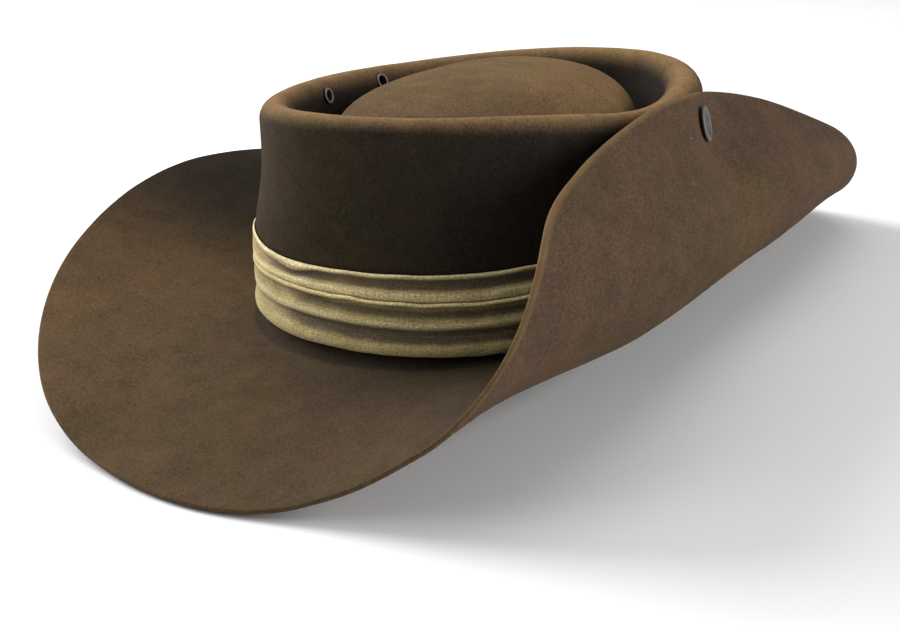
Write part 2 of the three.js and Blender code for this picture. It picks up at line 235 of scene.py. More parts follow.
# %% Crown rows
DOME_ROWS, GUTTER_ROWS, BATTER_ROWS, ROLL_ROWS = 20, 10, 4, 14
DOME_CROWDING = 1.5


def crown_rows(angle):
    """Rows of mid-felt points over the dome, the gutter and the rolled rim."""
    rows = []
    for k in range(1, DOME_ROWS + 1):
        tilt = (math.pi / 2) * (1 - (1 - k / DOME_ROWS) ** DOME_CROWDING)
        rows.append(dome_point(angle, tilt))
    foot = rows[-1]
    foot_radius = np.hypot(foot[:, 0], foot[:, 1])
    roll_radius = rim_roll(angle) - FELT / 2
    roll_centre = oval(RIM, angle) - rim_roll(angle)
    roll_z = rim_height(angle) - rim_roll(angle)
    gutter_outer = roll_centre - roll_radius - GUTTER_BATTER
    middle, half = (foot_radius + gutter_outer) / 2, (gutter_outer - foot_radius) / 2
    for turn in np.linspace(0, np.pi, GUTTER_ROWS + 1)[1:]:
        rows.append(rounded(middle - half * np.cos(turn), angle, foot[:, 2] - half * np.sin(turn)))
    for t in np.linspace(0, 1, BATTER_ROWS + 1)[1:-1]:
        z = foot[:, 2] * (1 - t) + roll_z * t
        rows.append(rounded(gutter_outer + GUTTER_BATTER * t, angle, z))
    for turn in np.linspace(np.pi, 0, ROLL_ROWS + 1):
        across, rise = roll_radius * np.cos(turn), roll_radius * np.sin(turn)
        rows.append(rounded(roll_centre + across, angle, roll_z + rise))
    return rows


print("crown rows", len(crown_rows(np.zeros(1))))

# %% [markdown]
# ## Rows of the wall
#
# From the roll the rows go down the wall. At the break a fillet turns them out into the brim. It is a
# curve with two ends and one point between them that it bends towards without reaching it.

# %% Wall rows
WALL_ROWS, BREAK_ROWS = 16, 8
BREAK_WALL, BREAK_BRIM = 7.0, 8.0


def wall_rows(angle):
    """Rows of mid-felt points down the wall and round the break."""
    rows = []
    roll_z = rim_height(angle) - rim_roll(angle)
    root = brim_point(angle, 0 * angle)[:, 2]
    for t in np.linspace(0, 1, WALL_ROWS + 1)[1:]:
        z = roll_z * (1 - t) + (root + BREAK_WALL) * t
        rows.append(rounded(wall_radius(angle, z), angle, z))
    start, bend = rows[-1], rounded(wall_radius(angle, root), angle, root)
    stop = brim_point(angle, BREAK_BRIM + 0 * angle)
    for t in np.linspace(0, 1, BREAK_ROWS + 1)[1:-1]:
        rows.append(start * (1 - t) ** 2 + bend * 2 * t * (1 - t) + stop * t * t)
    return rows


print("wall rows", len(wall_rows(np.zeros(1))))

# %% [markdown]
# ## Rows of the brim
#
# Handling has thinned the brim towards its edge, most of all in front and on the wearer's right. The
# last rows curl into the cut: there the half thickness shrinks along a small arc, so the raw edge gets
# two soft corners.

# %% Brim rows
BRIM_ROWS, CORNER_ROWS, CORNER_SHARE = 40, 5, 0.8
EDGE_TAPER = 14.0
EDGE_THICK = np.array([
    # angle, thickness of the felt at the cut
    (0, 2.5), (40, 2.2), (100, 1.8), (180, 1.7), (285, 1.7), (303, 1.8), (318, 2.4), (335, 2.6),
])


def brim_rows(angle):
    """Rows of mid-felt points out to the cut edge, and the half thickness of each."""
    rows, thick = [], []
    width = brim_width(angle)
    edge_half = around(EDGE_THICK[:, 0], EDGE_THICK[:, 1], angle) / 2
    corner = CORNER_SHARE * edge_half
    for t in np.linspace(0, 1, BRIM_ROWS + 1):
        out = BREAK_BRIM + (width - corner - BREAK_BRIM) * t
        rows.append(brim_point(angle, out))
        thick.append(FELT / 2 + (edge_half - FELT / 2) * ease(0, EDGE_TAPER, out - width + EDGE_TAPER))
    for turn in np.linspace(0, math.pi / 2, CORNER_ROWS + 1)[1:]:
        rows.append(brim_point(angle, width - corner + corner * math.sin(turn)))
        thick.append(edge_half - corner * (1 - math.cos(turn)))
    return rows, thick


print("felt at the cut", EDGE_THICK[:, 1].min(), "to", EDGE_THICK[:, 1].max(), "mm thick")

# %% [markdown]
# ## The middle grid
#
# Together the rows make one grid for the whole hat. At each point the cross product of the grid's two
# directions gives the normal, along which the felt will get its dents and its thickness.

# %% Middle grid of the felt
STATIONS = 360
station_angle = np.arange(STATIONS) * (2 * np.pi / STATIONS)


def normals_of(grid, top):
    """Unit normals of a grid of rings whose first ring closes on the point top."""
    inner = np.concatenate([np.broadcast_to(top, grid[:1].shape), grid[:-1]])
    outer = np.concatenate([grid[1:], grid[-1:]])
    round_the_hat = np.roll(grid, -1, axis=1) - np.roll(grid, 1, axis=1)
    normal = np.cross(outer - inner, round_the_hat)
    return normal / np.linalg.norm(normal, axis=-1, keepdims=True)


inner_rows = crown_rows(station_angle) + wall_rows(station_angle)
outer_rows, outer_half = brim_rows(station_angle)
felt_mid = np.array(inner_rows + outer_rows)
felt_half = np.array([FELT / 2 + 0 * station_angle] * len(inner_rows) + outer_half)
crown_top = np.array([0.0, 0.0, DOME_TOP])
felt_normal = normals_of(felt_mid, crown_top)
print("felt grid", felt_mid.shape[0], "rows of", felt_mid.shape[1])

# %% [markdown]
# ## Where the hat stands
#
# The solids have their origin on the floor below the middle of the hat, while the functions above
# measure from the crown's own axis. Centring the felt's plain outline on the felt solid's box gives
# the step from one to the other, so nothing has to be fitted by eye.

# %% Place of the crown axis
felt_lo, felt_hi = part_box("felt_body")
plain = np.concatenate([felt_mid + felt_normal * side for side in (FELT / 2, -FELT / 2)])
plain_lo, plain_hi = plain.min(axis=(0, 1)), plain.max(axis=(0, 1))
crown_axis = (np.array(felt_lo) + np.array(felt_hi)) / (2 * MM) - (plain_lo + plain_hi) / 2
crown_axis[2] = REST_BELOW
print("crown axis at", np.round(crown_axis, 2), "mm; box differs by",
      np.round((plain_hi - plain_lo) - (np.array(felt_hi) - np.array(felt_lo)) / MM, 2))

# %% [markdown]
# ## Worn unevenness
#
# Old felt is never as true as its block: it dents, relaxes and creeps. Sculpting that by hand would
# be slow, so a few plane waves in random directions are added up into smooth noise, with a fixed
# seed so that each run gives the same hat. Long waves make the shallow dents and short ones the fine
# unevenness.

# %% Smooth noise
def waves(points, length, seed, count=14):
    """Smooth noise of about unit size with waves about that long."""
    draw = np.random.default_rng(seed)
    heading = draw.normal(size=(count, 3))
    heading /= np.linalg.norm(heading, axis=1, keepdims=True)
    pitch = length * draw.uniform(0.7, 1.6, count)
    phase = draw.uniform(0, 2 * np.pi, count)
    total = np.zeros(points.shape[:-1])
    for k in range(count):
        total += np.sin(points @ heading[k] * (2 * np.pi / pitch[k]) + phase[k])
    return total * math.sqrt(2 / count)


DENT_DEPTH, DENT_LENGTH = 0.22, 95
FINE_DEPTH, FINE_LENGTH = 0.05, 26


def dents(points):
    shallow = DENT_DEPTH * waves(points, DENT_LENGTH, seed=3)
    return shallow + FINE_DEPTH * waves(points, FINE_LENGTH, seed=4)


print("dent at the middle of the dome", round(float(dents(crown_top)), 2), "mm")

# %% [markdown]
# ## Places of the metal
#
# The stud and the eyelets get their places before the felt is dented, so that it can stay true under
# them. Both come from the felt's own functions. The stud looks along the normal of the turned-up brim,
# and each eyelet looks inwards from the shoulder of the rolled rim.

# %% Stud and eyelet places
EYELET_ANGLES = np.radians([169.5, 204.2, 11.0, 338.0])
EYELET_UP_ROLL = np.radians([20.0, 10.0, 15.0, 15.0])


def stud_pose():
    """Place on the outer face of the turned-up brim, and the way that face looks."""
    angle = np.array([STUD_ANGLE])
    out = brim_width(angle) - STUD_FROM_EDGE
    step = math.radians(1)
    up = brim_point(angle, out + 1) - brim_point(angle, out - 1)
    back = brim_point(angle + step, out) - brim_point(angle - step, out)
    away = np.cross(back, up)[0]
    away /= np.linalg.norm(away)
    return brim_point(angle, out)[0] + away * FELT / 2, away


def eyelet_pose(angle, up_roll):
    """Place in the middle of the felt on the roll's inner shoulder, and the way it looks."""
    roll = rim_roll(angle)
    radius = oval(RIM, angle) - roll - (roll - FELT / 2) * math.cos(up_roll)
    z = rim_height(angle) - roll + (roll - FELT / 2) * math.sin(up_roll)
    before, after = angle - math.radians(2), angle + math.radians(2)
    tangent = rounded(oval(RIM, after), after, 0) - rounded(oval(RIM, before), before, 0)
    inward = np.array([-tangent[1], tangent[0], 0])
    inward *= math.cos(up_roll) / np.linalg.norm(inward)
    return rounded(radius, angle, z), inward + np.array([0, 0, math.sin(up_roll)])


stud_at, stud_away = stud_pose()
eyelet_poses = [eyelet_pose(angle, up) for angle, up in zip(EYELET_ANGLES, EYELET_UP_ROLL)]
print("stud at", np.round(stud_at, 1), "mm from the foot of the crown axis")

# %% [markdown]
# ## Denting the felt
#
# The noise now moves the grid along its normals. It fades out where the band, the stud and the eyelets
# sit, because those pieces have to meet the felt, and where the hat touches the floor.

# %% Soft dents
BAND_ZONE_MIDDLE, BAND_ZONE_HALF, ABOVE_BAND = 18, 29, (41, 47)
BY_STUD, BY_EYELET, BY_FLOOR = (9, 28), (4, 12), (1, 9)
inside_brim = np.arange(len(felt_mid))[:, None] < len(felt_mid) - BRIM_ROWS
wall_zone = (np.abs(felt_mid[..., 2] - BAND_ZONE_MIDDLE) < BAND_ZONE_HALF) & inside_brim
free = 1 - wall_zone * (1 - ease(*ABOVE_BAND, felt_mid[..., 2]))
free *= ease(*BY_STUD, np.linalg.norm(felt_mid - stud_at, axis=-1))
for place, _ in eyelet_poses:
    free *= ease(*BY_EYELET, np.linalg.norm(felt_mid - place, axis=-1))
free *= ease(*BY_FLOOR, felt_mid[..., 2] + REST_BELOW)
felt_mid = felt_mid + felt_normal * (dents(felt_mid) * free)[..., None]
crown_top = crown_top + np.array([0, 0, dents(crown_top)])
felt_normal = normals_of(felt_mid, crown_top)
print("dents up to", round(float(np.abs(dents(felt_mid) * free).max()), 2), "mm")

# %% [markdown]
# ## A mesh from rings
#
# Felt, band, stud and eyelets all have the same kind of mesh: rings of points, each joined to the
# next. One helper makes them all. It can close the two ends on a point, as on the felt, or join the
# last ring to the first, as on an eyelet. Named attributes on the points carry wear to the shader.

# %% Ring meshes
def ring_object(name, rings, poles=None, closed=False, attributes=None):
    count, around_it = rings.shape[:2]
    points = rings.reshape(-1, 3)
    here = np.arange(around_it)
    after = np.roll(here, -1)
    faces = []
    for k in range(count if closed else count - 1):
        low, high = k * around_it, ((k + 1) % count) * around_it
        faces.append(np.stack([low + here, high + here, high + after, low + after], axis=1))
    faces = np.concatenate(faces).tolist()
    if poles is not None:
        first, last = len(points), len(points) + 1
        points = np.concatenate([points, poles])
        end = (count - 1) * around_it
        faces += np.stack([here * 0 + first, here, after], axis=1).tolist()
        faces += np.stack([here * 0 + last, end + after, end + here], axis=1).tolist()
    mesh = bpy.data.meshes.new(name)
    mesh.from_pydata(((points + crown_axis) * MM).tolist(), [], faces)
    mesh.shade_smooth()
    for key, values in (attributes or {}).items():
        layer = mesh.attributes.new(key, "FLOAT", "POINT")
        ends = [] if poles is None else [values[0].mean(), values[-1].mean()]
        layer.data.foreach_set("value", np.append(values, ends).astype(np.float32))
    piece = bpy.data.objects.new(name, mesh)
    bpy.context.collection.objects.link(piece)
    return piece


# %% [markdown]
# ## Wear and painted light on the felt
#
# Two numbers at each point of the grid will tell the shader how pale the felt is. The first is highest
# on the cut edge and fades over a millimetre or two: partly wear, most of all where hands take hold of
# the turned-up side, and partly a painted highlight where the cut faces the light. The second is partly
# sun bleaching and partly painted light and shade. It is high on the dome and on the top of the rim,
# where light falls, with painted shade at the dome's foot. It is lower on the brim and lowest where the
# flap and the crown shade it, a little on the wall's lit side, and nothing in the gutter, which is painted
# shade.

# %% Worn edge and painted light
EDGE_MARK_REACH = 1.5
EDGE_WEAR_AND_LIGHT = np.array([
    # angle, how pale the cut edge is there, from wear and a painted highlight
    (0, 0.9), (14, 0.45), (40, 0.35), (100, 0.2), (180, 0.15), (235, 0.15), (270, 0.2), (290, 0.35),
    (303, 0.7), (316, 1.1), (336, 1.1), (350, 1.1),
])
BRIM_PAINTED_LIGHT = np.array([
    # angle, painted light on the brim's upper face there, lowest where the flap and the crown shade it
    (0, 0.14), (60, 0.14), (120, 0.09), (160, 0.04), (185, 0.08), (212, 0.52), (245, 0.40),
    (270, 0.30), (288, 0.22), (302, 0.12), (325, 0.10),
])
DOME_FADE_AND_LIGHT, DOME_FOOT_SHADE = 0.57, 0.56
SAG_SIDE_LIGHT, SAG_LINE_LIGHT = 0.28, 0.12
WALL_PAINTED_LIGHT, SHADED_SIDE = 0.11, math.radians(36)
BRIM_ROOT_SHARE = 0.6
edge_wear_and_light = around(EDGE_WEAR_AND_LIGHT[:, 0], EDGE_WEAR_AND_LIGHT[:, 1], station_angle)
brim_painted_light = around(BRIM_PAINTED_LIGHT[:, 0], BRIM_PAINTED_LIGHT[:, 1], station_angle)
edge_distance = np.linalg.norm(felt_mid - felt_mid[-1], axis=-1)
worn_and_lit_skin = edge_wear_and_light * np.exp(-((edge_distance / EDGE_MARK_REACH) ** 2))
roll_first = DOME_ROWS + GUTTER_ROWS + BATTER_ROWS - 1
wall_first = roll_first + ROLL_ROWS + 1
brim_first = len(felt_mid) - BRIM_ROWS - CORNER_ROWS - 1
out_on_dome = np.linspace(0, 1, DOME_ROWS)[:, None]
over_roll = np.linspace(0, 1, ROLL_ROWS + 1)[:, None]
out_on_brim = np.linspace(0, 1, len(felt_mid) - brim_first)[:, None]
# Painted light on the wall: a little on the side that faces the wide light, none on the shaded side.
wall_painted_light = WALL_PAINTED_LIGHT * np.sin((station_angle - SHADED_SIDE) / 2) ** 4
towards_sag = np.cos(station_angle - SAG_ANGLE)
fade_and_painted_light = wall_painted_light + np.zeros(felt_mid.shape[:2])
# The dome is pale on top from sun bleaching and painted light, has painted shade at its foot, and is paler
# on the side it sags towards.
fade_and_painted_light[:DOME_ROWS] = DOME_FADE_AND_LIGHT - DOME_FOOT_SHADE * out_on_dome**5
fade_and_painted_light[:DOME_ROWS] += out_on_dome * (SAG_SIDE_LIGHT * towards_sag + SAG_LINE_LIGHT * np.abs(towards_sag))
# Painted shade: the gutter gets the darkest brown.
fade_and_painted_light[DOME_ROWS:roll_first] = 0
# The top of the roll is pale: sun bleaching and painted light.
fade_and_painted_light[roll_first:wall_first] = np.maximum(np.sin(np.pi * over_roll) ** 2, wall_painted_light * over_roll)
# The brim's painted light is weaker towards the crown.
out_share = BRIM_ROOT_SHARE + (1 - BRIM_ROOT_SHARE) * ease(0, 0.5, out_on_brim)
fade_and_painted_light[brim_first:] = brim_painted_light * out_share
print("faded up to", round(float(fade_and_painted_light.max()), 2), "and worn up to", round(float(worn_and_lit_skin.max()), 2))

# %% [markdown]
# ## The felt
#
# Two skins stand half a thickness either side of the middle grid and meet at the cut edge. A third
# attribute, called under, is 1 on the lower skin, which has a brown of its own. Nothing may go below
# the floor, so the lowest points are held there.

# %% Felt mesh
offset = felt_normal * felt_half[..., None]
skins = np.concatenate([felt_mid + offset, felt_mid[-1:], (felt_mid - offset)[::-1]])
skins[..., 2] = np.maximum(skins[..., 2], -REST_BELOW)
worn_and_lit = np.concatenate([worn_and_lit_skin, worn_and_lit_skin[-1:], worn_and_lit_skin[::-1]])
fade_and_painted_light = np.concatenate([fade_and_painted_light, fade_and_painted_light[-1:], 0 * fade_and_painted_light])
lower = np.ones(felt_mid.shape[:2])
under = np.concatenate([0 * lower, 0.5 * lower[-1:], lower])
poles = crown_top + np.array([[0, 0, FELT / 2], [0, 0, -FELT / 2]])
felt = ring_object("felt", skins, poles, attributes={"worn_and_lit": worn_and_lit, "fade_and_painted_light": fade_and_painted_light, "under": under})
print("felt mesh", len(felt.data.polygons), "faces")

# %% [markdown]
# ## Holes for metal
#
# The eyelets are really set in punched holes, and the stud's post goes through the brim and the
# crown wall. A Boolean modifier with round cutters punches them. Its result is applied at once, so
# the felt is kept as a plain mesh.

# %% Punch the felt
HOLE_SIDES = 40
EYELET_BARREL, POST_RADIUS, FIT = 2.6, 2.4, 0.3
EYELET_BACK, POST_LENGTH = 1.6, 15.0


def turned_to(direction):
    """Rotation that takes +Z to a direction, as rows of a 3 by 3 array."""
    return np.array(Vector((0, 0, 1)).rotation_difference(Vector(direction)).to_matrix())


def lathe(profile, place, direction, sides):
    """Rings of a profile of (radius, height) turned about a direction."""
    profile = np.array(profile, float)
    angle = np.arange(sides) * (2 * np.pi / sides)
    rings = rounded(profile[:, :1] + 0 * angle, angle[None, :] + 0 * profile[:, :1], profile[:, 1:])
    return rings @ turned_to(direction).T + place


def drill(place, direction, radius, outside, depth):
    rings = lathe([(radius, outside), (radius, -depth)], place, direction, HOLE_SIDES)
    ends = np.array([[0, 0, outside], [0, 0, -depth]]) @ turned_to(direction).T + place
    return ring_object("drill", rings, ends)


drills = [drill(p, d, EYELET_BARREL + FIT, FELT, FELT + EYELET_BACK) for p, d in eyelet_poses]
drills.append(drill(stud_at, stud_away, POST_RADIUS + FIT, FELT, POST_LENGTH + FIT))
for cutter in drills:
    hole = felt.modifiers.new("hole", "BOOLEAN")
    hole.operation = "DIFFERENCE"
    hole.solver = "EXACT"
    hole.object = cutter
bpy.context.view_layer.update()
punched = bpy.data.meshes.new_from_object(felt.evaluated_get(bpy.context.evaluated_depsgraph_get()))
felt.modifiers.clear()
felt.data = punched
for cutter in drills:
    bpy.data.objects.remove(cutter)
print("punched felt", len(felt.data.polygons), "faces")

# %% [markdown]
# ## The band
#
# The band is one strip of khaki cotton, folded lengthwise so that two folds face up and a softer
# crease runs below them. The table follows the cloth from its hidden inner edge over the top fold,
# down the face, back up behind the second fold, and down to the turned hem. Heights are given at the
# tuck on the wearer's right and at the turned-up side, because the pleats sink between the two.

# %% Folds of the band
FOLDS = np.array([
    # height at the tuck, height by the flap, proud of the crown,
    # sinks by, in which hollow, share of the lip, crest light (painted: 1 pale on a crest, 0 dark in a
    # hollow)
    (10.0, 9.0, 0.6, 0, 0, 0, 0.2), (20.0, 19.0, 0.6, 0, 0, 0, 0.2), (30.0, 30.0, 0.7, 0, 0, 0, 0.3),
    (32.3, 32.0, 1.0, 0, 0, 0, 0.6), (33.5, 33.3, 1.8, 0, 0, 0, 1.0), (33.3, 33.1, 2.5, 0, 0, 0.2, 0.9),
    (32.8, 32.6, 2.8, 0, 0, 0.7, 0.35), (32.3, 32.1, 2.8, 0.7, 1, 1, 0), (31.7, 31.4, 2.8, 1.6, 1, 1, 0),
    (30.7, 30.0, 2.9, 1.8, 1, 0.7, 0), (29.4, 28.4, 3.1, 0.9, 1, 0.3, 0.1), (28.0, 26.9, 3.3, 0, 0, 0, 0.85),
    (26.5, 24.9, 3.0, 0, 0, 0, 0.75), (25.0, 23.3, 2.1, 0, 0, 0, 0.2), (22.6, 20.8, 1.4, 0, 0, 0, 0),
    (19.4, 17.4, 1.2, 0, 0, 0, 0), (18.7, 16.8, 1.6, 0, 0, 0, 0), (19.6, 17.6, 2.0, 0, 0, 0, 0),
    (24.0, 22.0, 2.7, 0, 0, 0, 0.4), (25.5, 23.6, 3.2, -0.1, 2, 0, 1.0), (25.3, 23.4, 3.6, -0.5, 2, 0, 0.9),
    (24.8, 22.9, 3.8, -0.6, 2, 0, 0.35), (24.3, 22.4, 4.0, 0.4, 2, 0, 0), (23.7, 21.8, 4.0, 1.5, 2, 0, 0),
    (22.5, 20.4, 3.9, 1.6, 2, 0, 0), (20.9, 18.7, 4.2, 0.7, 2, 0, 0.15), (18.8, 16.7, 4.5, 0, 0, 0, 0.75),
    (16.8, 15.2, 4.3, 0, 0, 0, 0.65), (15.8, 14.3, 4.1, 0.7, 3, 0, 0.1), (15.0, 13.0, 4.0, 1.5, 3, 0, 0),
    (14.2, 11.2, 4.1, 1.5, 3, 0, 0), (12.8, 9.8, 4.5, 0.9, 3, 0, 0.05), (9.6, 8.0, 5.0, 0, 0, 0, 0.55),
    (6.6, 5.8, 4.8, 0, 0, 0, 0.65), (5.4, 5.0, 4.0, 0, 0, 0, 0.7), (6.4, 6.0, 3.4, 0, 0, 0, 0.3),
    (10.0, 9.2, 2.9, 0, 0, 0, 0.1), (13.0, 12.0, 2.7, 0, 0, 0, 0.1),
])
print("fold table", len(FOLDS), "points across the strip")

# %% [markdown]
# ## The folds round the hat
#
# A second table says how the section changes on its way round: how far the pleats have sunk, how deep
# each hollow is, and how wide the top lip gapes at the tuck. Between two rows of the fold table a smooth
# curve adds more rows, so that the folds look soft.

# %% Section round the hat
BAND_ROUND = np.array([
    # angle, how far the pleats have sunk, depth of the three hollows, width of the top lip
    (10, 0.9, 0.9, 1.0, 1.0, 0.0), (70, 0.6, 0.8, 0.9, 0.9, 0.2), (130, 0.3, 0.6, 0.7, 0.6, 0.5),
    (190, 0.1, 0.35, 0.4, 0.35, 0.4), (232, 0.0, 0.25, 0.3, 0.25, 0.3), (246, 0.0, 0.45, 0.4, 0.4, 0.8),
    (251, 0.05, 0.8, 0.5, 0.6, 1.3), (255.5, 0.15, 1.2, 0.6, 0.95, 2.2), (259, 0.25, 1.1, 0.7, 1.0, 1.3),
    (263, 0.35, 1.0, 0.8, 1.0, 0.1), (270, 0.55, 0.8, 0.95, 1.0, 0.0), (280, 0.75, 0.9, 1.0, 1.0, 0.0),
    (300, 1.0, 1.0, 1.0, 1.0, 0.0), (335, 1.0, 1.0, 1.0, 1.0, 0.0),
])
FLAT_CREST_LIGHT = 0.5
BAND_STATIONS, FOLD_STEPS = 432, 3


def smooth_rows(rows, steps):
    """Rows joined by a smooth curve, with that many steps between two rows."""
    gap = np.linalg.norm(np.diff(rows[..., :2].mean(axis=1), axis=0), axis=-1)[:, None, None]
    slope = np.diff(rows, axis=0) / gap
    inner = (slope[:-1] * gap[1:] + slope[1:] * gap[:-1]) / (gap[:-1] + gap[1:])
    tangent = np.concatenate([slope[:1], inner, slope[-1:]])
    made = []
    for k in range(len(rows) - 1):
        for t in np.arange(steps) / steps:
            a, b = rows[k], rows[k + 1]
            m0, m1 = tangent[k] * gap[k], tangent[k + 1] * gap[k]
            bend, pull = m0 + m1 - 2 * (b - a), 3 * (b - a) - 2 * m0 - m1
            made.append(a + t * (m0 + t * (pull + t * bend)))
    return np.array(made + [rows[-1]])


band_angle = np.arange(BAND_STATIONS) * (2 * np.pi / BAND_STATIONS)
round_the_band = [around(BAND_ROUND[:, 0], column, band_angle) for column in BAND_ROUND.T[1:]]
sunk, hollow_1, hollow_2, hollow_3, lip_width = round_the_band
depth = np.stack([1 + 0 * sunk, hollow_1, hollow_2, hollow_3])[FOLDS[:, 4].astype(int)]
height = FOLDS[:, 0, None] * (1 - sunk) + FOLDS[:, 1, None] * sunk - FOLDS[:, 5, None] * lip_width
proud = FOLDS[:, 2, None] - FOLDS[:, 3, None] * depth
# Painted light and shade: crests pale and hollows dark, the more so where a hollow is deep.
crest_light = FLAT_CREST_LIGHT + (FOLDS[:, 6, None] - FLAT_CREST_LIGHT) * depth
folded = smooth_rows(np.stack([height, proud, crest_light], axis=-1), FOLD_STEPS)
print("band folds", folded.shape[0], "rows of", folded.shape[1])

# %% [markdown]
# ## Cloth round the crown
#
# Each point of the folded strip now goes to its place round the crown wall. Over the swell on the
# wearer's right the strip is drawn thin and pulled up, and fine waves along it stop the pleats from
# looking machined. A Solidify modifier gives the cloth its thickness, and the strip is measured across
# and along.

# %% Band mesh
CLOTH = 0.5
BAND_LOW, BAND_HIGH = 5.5, 33.9
DRAWN_THIN, DRAWN_BEHIND, DRAWN_FOOT, DRAWN_EVEN = 0.8, 0.4, 0.7, 0.6
FOOT_LIFT, FOOT_ZONE, TOP_LIFT, TOP_ZONE = 2.2, 0.3, 4.0, 0.7
PULLED_ANGLE, PULLED_SPREAD = math.radians(231), math.radians(14)
WANDER, WANDER_LENGTH, WRINKLE, WRINKLE_LENGTH = 0.2, 26, 0.1, 9
FREE_TO_RISE, FREE_TO_STAND = (0.4, 3.0), (0.6, 2.5)
h, clear, crest_light = folded[..., 0], folded[..., 1], folded[..., 2]
up = (h - BAND_LOW) / (BAND_HIGH - BAND_LOW)
drawn = swollen(band_angle)
root = brim_point(band_angle, 0 * band_angle)[:, 2]
pulled = np.exp(-(((band_angle - PULLED_ANGLE) / PULLED_SPREAD) ** 2))
foot_lift = FOOT_LIFT * (1 - ease(0, FOOT_ZONE, up)) * drawn
top_lift = TOP_LIFT * ease(TOP_ZONE, 1, up) * pulled
z = h + root * (1 - up) + foot_lift + top_lift
on_wall = rounded(oval(HEAD, band_angle) + 0 * z, band_angle + 0 * z, z)
wander = WANDER * waves(on_wall * [1, 1, 1.5], WANDER_LENGTH, seed=7)
wrinkle = WRINKLE * waves(on_wall * [1, 1, 2.0], WRINKLE_LENGTH, seed=8)
z = z + (wander + wrinkle) * ease(*FREE_TO_RISE, clear)
cover = (clear - DRAWN_BEHIND) * (1 - DRAWN_THIN * drawn * np.clip(up, 0, 1))
loose = DRAWN_BEHIND + DRAWN_FOOT * drawn * (1 - up)
uneven = (wander + wrinkle) * ease(*FREE_TO_STAND, clear) * (1 - DRAWN_EVEN * drawn)
radius = wall_radius(band_angle, z) + FELT / 2 + cover + loose + uneven
strip = rounded(radius, band_angle + 0 * z, z)
band = ring_object("band", strip, attributes={"crest_light": crest_light})
thickness = band.modifiers.new("cloth", "SOLIDIFY")
thickness.thickness = CLOTH * MM
thickness.offset = 0
across = np.linalg.norm(np.diff(strip, axis=0), axis=-1).sum(axis=0).mean()
along = np.linalg.norm(np.roll(strip, -1, axis=1) - strip, axis=-1).sum(axis=1).mean()
print("cloth measures", round(across, 1), "by", round(along, 1), "mm")

# %% [markdown]
# ## Directions in the cloth
#
# A weave needs to know which way the threads run. The strip's own grid knows: one direction goes
# across the folds and the other round the hat. Both distances, in metres, are kept as a UV map.

# %% Thread directions
steps_across = np.linalg.norm(np.diff(strip, axis=0), axis=-1).mean(axis=1)
v_row = np.concatenate([[0], np.cumsum(steps_across)]) * MM
u_station = np.arange(BAND_STATIONS + 1) * (along / BAND_STATIONS) * MM
threads = band.data.uv_layers.new(name="threads")
row_of_face = np.repeat(np.arange(len(strip) - 1), BAND_STATIONS)
station_of_face = np.tile(np.arange(BAND_STATIONS), len(strip) - 1)
corner_row = np.stack([row_of_face, row_of_face + 1, row_of_face + 1, row_of_face], axis=1)
next_station = station_of_face + 1
corner_station = np.stack([station_of_face, station_of_face, next_station, next_station], axis=1)
uv = np.stack([u_station[corner_station], v_row[corner_row]], axis=-1)
threads.data.foreach_set("uv", uv.astype(np.float32).reshape(-1))
print("thread map", uv.reshape(-1, 2).max(axis=0).round(3), "m")

# %% [markdown]
# ## The stud
#
# The stud is a pressed cap with a raised lip round a shallow dish, on a post that goes through the
# brim into the crown. Both are turned shapes, so a short profile of radius and height is enough.

# %% Stud mesh
STUD_RADIUS, STUD_STAND, STUD_EDGE, STUD_LIP, STUD_DISH = 6.9, 1.0, 1.2, 1.6, 0.5
STUD_SIDES, DISH_RISE, STUD_CURL = 72, 0.35, 0.6
face = STUD_STAND + STUD_EDGE
lip = STUD_RADIUS - STUD_LIP
dish = lip - 0.9
stud_profile = [(POST_RADIUS - 0.3, -POST_LENGTH), (POST_RADIUS, -POST_LENGTH + 0.3)]
stud_profile += [(POST_RADIUS, STUD_STAND - 0.05), (POST_RADIUS + 0.05, STUD_STAND)]
for turn in np.linspace(-90, 90, 9):
    out, up = math.cos(math.radians(turn)), math.sin(math.radians(turn))
    stud_profile.append((STUD_RADIUS + STUD_CURL * (out - 1), STUD_STAND + STUD_CURL * (1 + up)))
stud_profile += [(lip + 0.5, face + 0.03), (lip + 0.1, face - 0.03)]
stud_profile += [(lip - 0.3, face - 0.25), (dish, face - STUD_DISH)]
for r in (3.6, 2.8, 2.0, 1.2, 0.5):
    stud_profile.append((r, face - STUD_DISH + DISH_RISE * (1 - (r / dish) ** 2)))
stud_profile.reverse()
rings = lathe(stud_profile, stud_at, stud_away, STUD_SIDES)
ends = np.array([[0, 0, face - STUD_DISH + DISH_RISE], [0, 0, -POST_LENGTH]])
ends = ends @ turned_to(stud_away).T + stud_at
# Paler lip: rubbed metal and a painted highlight.
on_lip = [float(r > lip - 0.2 and z > face - 0.6) for r, z in stud_profile]
rubbed_and_highlit = np.repeat(np.array(on_lip)[:, None], STUD_SIDES, axis=1)
stud = ring_object("stud", rings, ends, attributes={"rubbed_and_highlit": rubbed_and_highlit})
print("stud", len(stud.data.polygons), "faces")

# %% [markdown]
# ## The eyelets
#
# Each vent eyelet is a short tube whose two ends are rolled outwards over the felt. The profile is a
# closed loop: up the bore, over the front roll, down the outside of the barrel, round the back roll.

